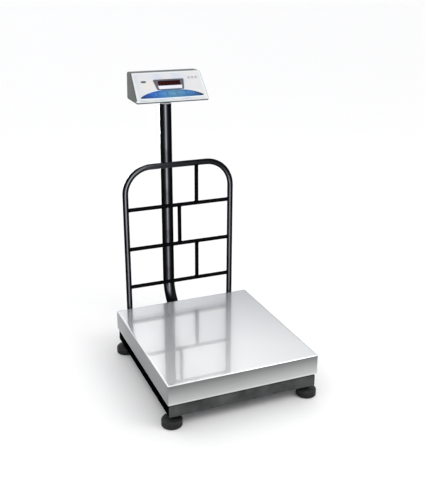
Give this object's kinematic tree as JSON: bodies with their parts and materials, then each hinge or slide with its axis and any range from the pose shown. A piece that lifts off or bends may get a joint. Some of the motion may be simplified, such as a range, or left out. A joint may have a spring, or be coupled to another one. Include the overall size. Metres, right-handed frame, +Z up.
{
  "type": "bench scale",
  "caption": "Bench scale: stainless platter on a sprung frame and tubular base with levelling feet, a rear guard of welded tube and a swan-necked column with a swivelling indicator.",
  "frame": {"origin": "on the floor, in the middle of the footprint's box; the platter's centre is 99.15 mm in front of it", "axes": "+Z up, the indicator and the platter's free edge face -Y, +X to the right of someone who reads the display"},
  "size_m": [0.523, 0.7552, 0.953],
  "materials": {
    "black_coat": "gloss black powder coat",
    "stainless": "brushed stainless sheet, nearly mirror bright",
    "zinc_steel": "zinc-plated steel",
    "aluminium": "machined and clear anodised",
    "rubber": "moulded black rubber",
    "cable_sheath": "black PVC sheath",
    "case_plastic": "fine-textured light grey ABS",
    "panel_film": "satin printed polycarbonate film",
    "blue_print": "blue keypad field printed on the film",
    "bezel_plastic": "dark grey moulded bezel",
    "silver_print": "silver-white lens surround",
    "display_filter": "smoked red acrylic filter",
    "display_digits": "unlit red seven-segment digits",
    "key_blue": "embossed lighter blue membrane key",
    "dark_plastic": "black moulded plastic",
    "board_green": "solder-masked circuit board"
  },
  "bodies": {
    "base": {"base_rail_front": "black_coat", "base_rail_rear": "black_coat", "base_rail_left": "black_coat", "base_rail_right": "black_coat", "base_beam": "black_coat", "load_cell": "aluminium", "load_cell_bolt_lower_1": "zinc_steel", "load_cell_bolt_lower_2": "zinc_steel", "load_cell_cable": "cable_sheath", "column_socket": "black_coat", "column": "black_coat", "swivel_plug": "zinc_steel", "guard_bracket_left": "black_coat", "guard_bracket_right": "black_coat", "guard_hoop": "black_coat", "guard_bar_top": "black_coat", "guard_bar_middle": "black_coat", "guard_bar_bottom": "black_coat", "guard_upright_top": "black_coat", "guard_upright_middle": "black_coat", "guard_upright_bottom": "black_coat", "overload_stop_front_left": "zinc_steel", "overload_stop_front_right": "zinc_steel", "overload_stop_rear_left": "zinc_steel", "overload_stop_rear_right": "zinc_steel"},
    "foot_front_left": {"foot_pad_front_left": "rubber", "foot_stud_front_left": "zinc_steel"},
    "foot_front_right": {"foot_pad_front_right": "rubber", "foot_stud_front_right": "zinc_steel"},
    "foot_rear_left": {"foot_pad_rear_left": "rubber", "foot_stud_rear_left": "zinc_steel"},
    "foot_rear_right": {"foot_pad_rear_right": "rubber", "foot_stud_rear_right": "zinc_steel"},
    "weighing_frame": {"top_beam": "black_coat", "top_rail_front": "black_coat", "top_rail_rear": "black_coat", "load_cell_bolt_upper_1": "zinc_steel", "load_cell_bolt_upper_2": "zinc_steel", "platter_button_front_left": "rubber", "platter_button_front_right": "rubber", "platter_button_rear_left": "rubber", "platter_button_rear_right": "rubber"},
    "platter": {"platter": "stainless"},
    "indicator": {"swivel_collar": "black_coat", "housing_base": "case_plastic", "housing_shell": "case_plastic", "front_panel": "panel_film", "display_bezel": "bezel_plastic", "display_window": "display_filter", "display_module": "dark_plastic", "main_board": "board_green", "battery": "dark_plastic", "power_inlet": "dark_plastic", "indicator_lead": "cable_sheath"},
    "power_rocker": {"power_rocker": "dark_plastic"},
    "key_1": {"key_1": "key_blue"},
    "key_2": {"key_2": "key_blue"},
    "key_3": {"key_3": "key_blue"},
    "key_4": {"key_4": "key_blue"},
    "key_5": {"key_5": "key_blue"}
  },
  "joints": [
    {"name": "platter_lift", "type": "slide", "parent": "weighing_frame", "child": "platter", "axis": [0, 0, 1], "range_m": [0, 0.12]},
    {"name": "weighing_travel", "type": "slide", "parent": "base", "child": "weighing_frame", "axis": [0, 0, -1], "range_m": [0, 0.0009], "stiffness_N_per_m": 1000000, "springref_m": -0.0001, "deforming": ["load_cell"]},
    {"name": "indicator_swivel", "type": "hinge", "parent": "base", "child": "indicator", "pos_m": [0, 0.33235, 0.852], "axis": [0, 0, 1], "range_deg": [-90, 90]},
    {"name": "power_switch", "type": "hinge", "parent": "indicator", "child": "power_rocker", "pos_m": [-0.096, 0.37085, 0.884], "axis": [1, 0, 0], "range_deg": [0, 12]},
    {"name": "foot_height_front_left", "type": "slide", "parent": "base", "child": "foot_front_left", "axis": [0, 0, -1], "range_m": [0, 0.01]},
    {"name": "foot_height_front_right", "type": "slide", "parent": "base", "child": "foot_front_right", "axis": [0, 0, -1], "range_m": [0, 0.01]},
    {"name": "foot_height_rear_left", "type": "slide", "parent": "base", "child": "foot_rear_left", "axis": [0, 0, -1], "range_m": [0, 0.01]},
    {"name": "foot_height_rear_right", "type": "slide", "parent": "base", "child": "foot_rear_right", "axis": [0, 0, -1], "range_m": [0, 0.01]},
    {"name": "key_press_1", "type": "slide", "parent": "indicator", "child": "key_1", "axis": [0, 0.7362, -0.6768], "range_m": [0, 0.0005], "stiffness_N_per_m": 3000, "springref_m": -0.0003},
    {"name": "key_press_2", "type": "slide", "parent": "indicator", "child": "key_2", "axis": [0, 0.7362, -0.6768], "range_m": [0, 0.0005], "stiffness_N_per_m": 3000, "springref_m": -0.0003},
    {"name": "key_press_3", "type": "slide", "parent": "indicator", "child": "key_3", "axis": [0, 0.7362, -0.6768], "range_m": [0, 0.0005], "stiffness_N_per_m": 3000, "springref_m": -0.0003},
    {"name": "key_press_4", "type": "slide", "parent": "indicator", "child": "key_4", "axis": [0, 0.7362, -0.6768], "range_m": [0, 0.0005], "stiffness_N_per_m": 3000, "springref_m": -0.0003},
    {"name": "key_press_5", "type": "slide", "parent": "indicator", "child": "key_5", "axis": [0, 0.7362, -0.6768], "range_m": [0, 0.0005], "stiffness_N_per_m": 3000, "springref_m": -0.0003}
  ]
}
